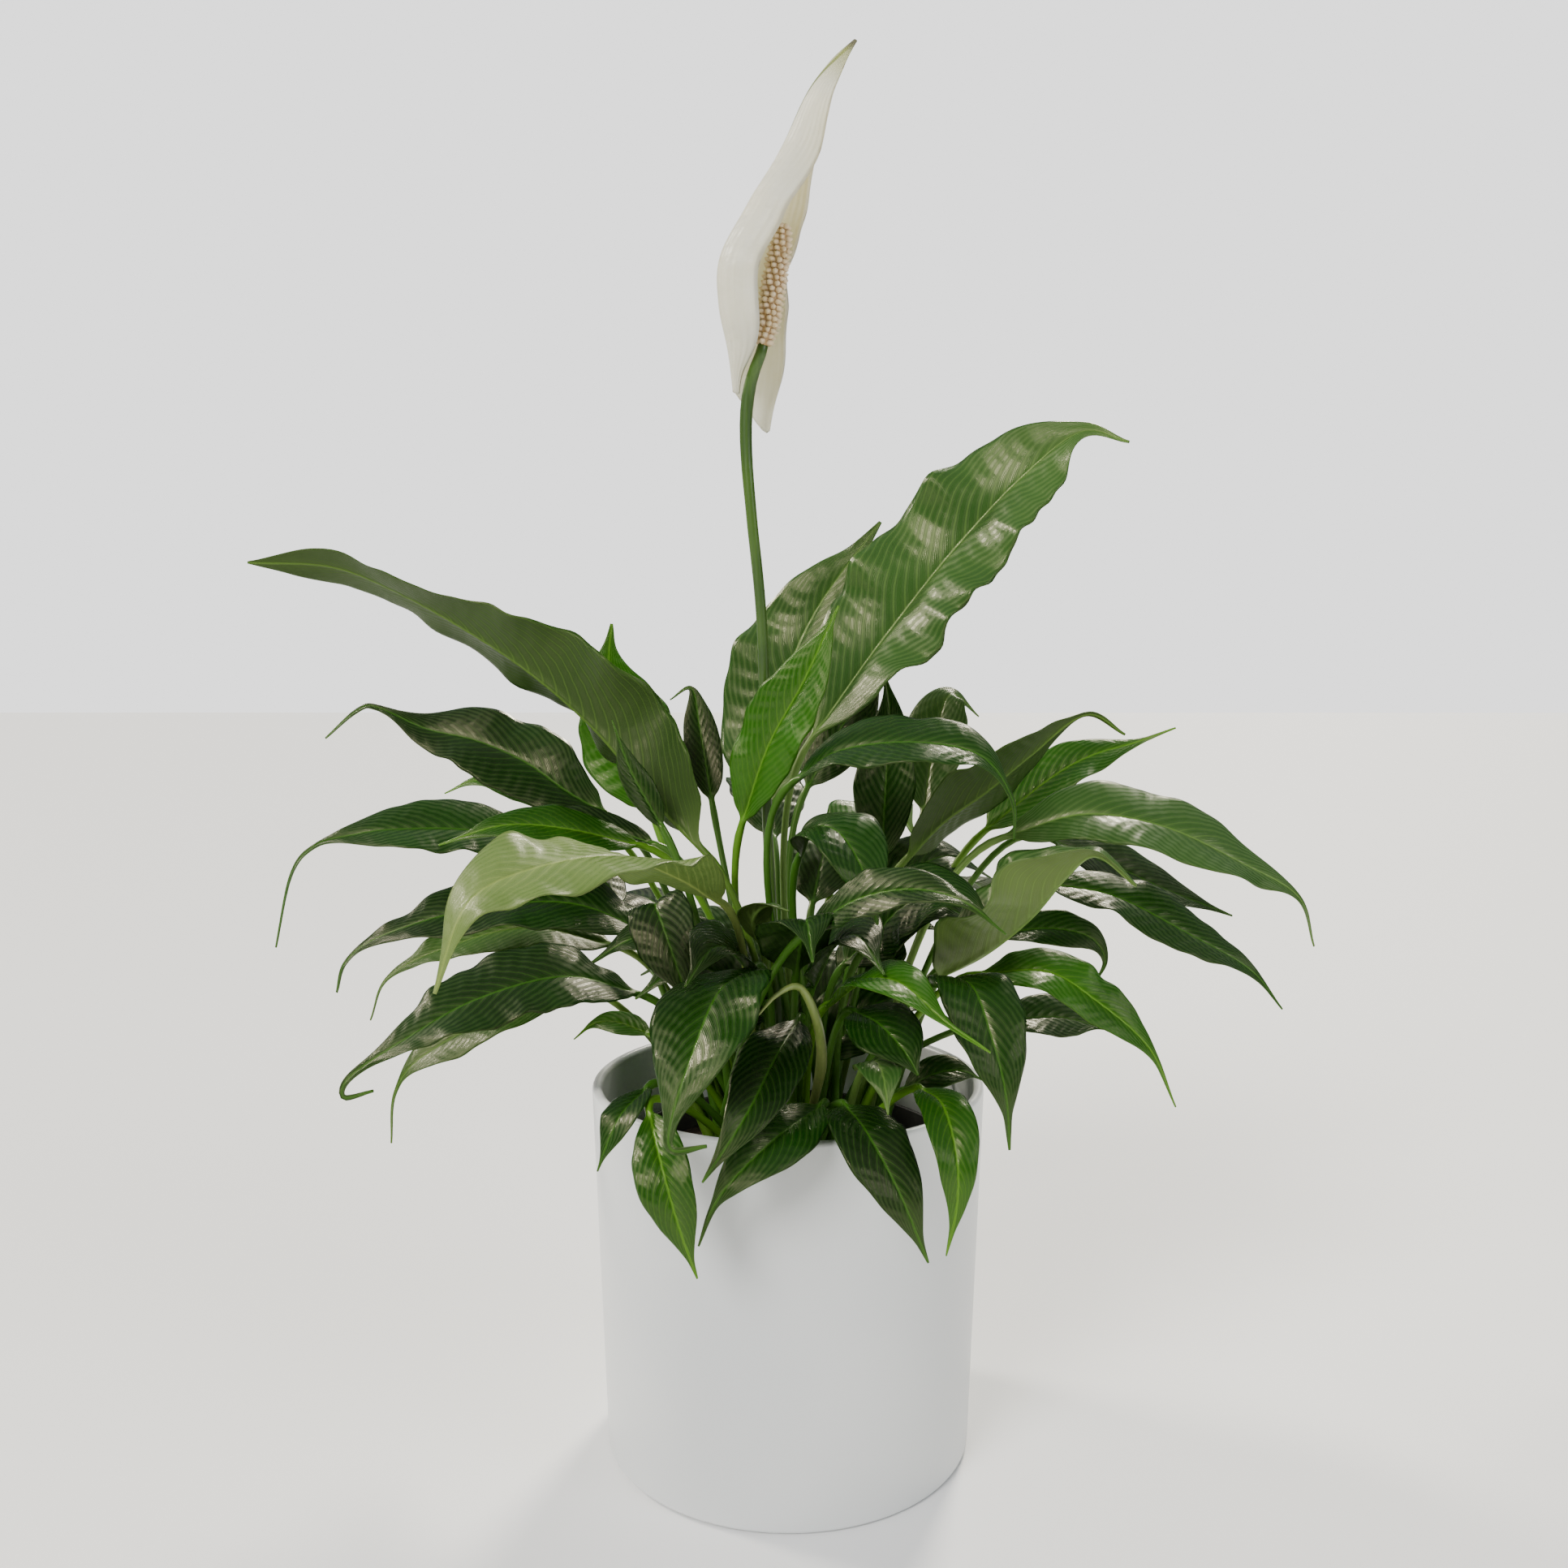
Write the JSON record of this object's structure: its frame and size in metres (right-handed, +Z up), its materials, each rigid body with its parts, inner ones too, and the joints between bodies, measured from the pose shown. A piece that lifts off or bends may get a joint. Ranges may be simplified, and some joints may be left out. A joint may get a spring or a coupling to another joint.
{
  "type": "potted peace lily",
  "caption": "Live peace lily in a plain round white pot: arching glossy pointed leaves and one white hooded flower on a tall stalk.",
  "frame": {"origin": "centre of the pot's flat underside, on the surface that the pot stands on", "axes": "+Z up along the pot's axis and the plant's height, +Y towards the back of the plant, +X to its right seen from the front"},
  "size_m": [0.4205, 0.3047, 0.5418],
  "materials": {
    "pot": "satin white glaze",
    "grow_pot": "dark matte plastic",
    "potting_mix": "damp crumbly mix",
    "stalk": "smooth green stalk",
    "spathe": "soft creamy white",
    "spadix": "matte bumpy cream tan",
    "new_leaf": "satin light green",
    "leaf_dark": "glossy dark green",
    "leaf_bright": "glossy fresh green",
    "leaf_olive": "satin olive green",
    "leaf_pale": "glossy grey green"
  },
  "bodies": {
    "root": {"pot": "pot", "grow_pot": "grow_pot", "potting_mix": "potting_mix", "flower_stalk": "stalk", "spathe": "spathe", "spadix": "spadix", "new_leaf": "new_leaf", "leaf_right_tall": "leaf_pale", "leaf_back_tall": "leaf_pale", "leaf_centre_spear": "leaf_bright", "leaf_centre_glossy": "leaf_dark", "leaf_right_upright": "leaf_dark", "leaf_right_olive": "leaf_olive", "leaf_back_pale": "leaf_pale", "leaf_right_bright": "leaf_bright", "leaf_right_long": "leaf_pale", "leaf_right_under": "leaf_dark", "leaf_right_saddle": "leaf_olive", "leaf_right_low_long": "leaf_dark", "leaf_right_hooked": "leaf_dark", "leaf_right_drooping": "leaf_bright", "leaf_right_lower_back": "leaf_dark", "leaf_front_right_hanging": "leaf_dark", "leaf_front_right_bright": "leaf_bright", "leaf_front_right_dark": "leaf_dark", "leaf_front_right_small": "leaf_pale", "leaf_rim_right_bright": "leaf_bright", "leaf_rim_right": "leaf_dark", "leaf_rim_centre": "leaf_dark", "leaf_front_centre": "leaf_dark", "leaf_front_left_broad": "leaf_dark", "leaf_rim_left_bright": "leaf_bright", "leaf_rim_left_dark": "leaf_dark", "leaf_left_small": "leaf_bright", "leaf_left_low_broad": "leaf_dark", "leaf_left_low_hidden": "leaf_olive", "leaf_left_mid_broad": "leaf_dark", "leaf_left_mid_back": "leaf_olive", "leaf_front_left_rolled": "leaf_pale", "leaf_left_arched": "leaf_dark", "leaf_left_dark_inner": "leaf_dark", "leaf_left_lime": "leaf_bright", "leaf_left_glossy": "leaf_dark", "leaf_back_left_tip": "leaf_bright", "leaf_left_long": "leaf_olive", "leaf_back_left_bright": "leaf_bright", "leaf_back_sprig": "leaf_dark", "leaf_left_narrow": "leaf_dark", "leaf_centre_dark": "leaf_dark", "leaf_centre_low": "leaf_dark", "leaf_back_streaked": "leaf_dark", "leaf_inner_low": "leaf_dark", "leaf_centre_shade": "leaf_dark", "leaf_centre_curled": "leaf_pale", "leaf_left_shade": "leaf_dark", "leaf_back_high": "leaf_dark", "leaf_back_right_low": "leaf_dark", "leaf_back_right_high": "leaf_bright", "leaf_back_left_low": "leaf_dark", "leaf_back_left_wide": "leaf_dark"}
  },
  "joints": []
}
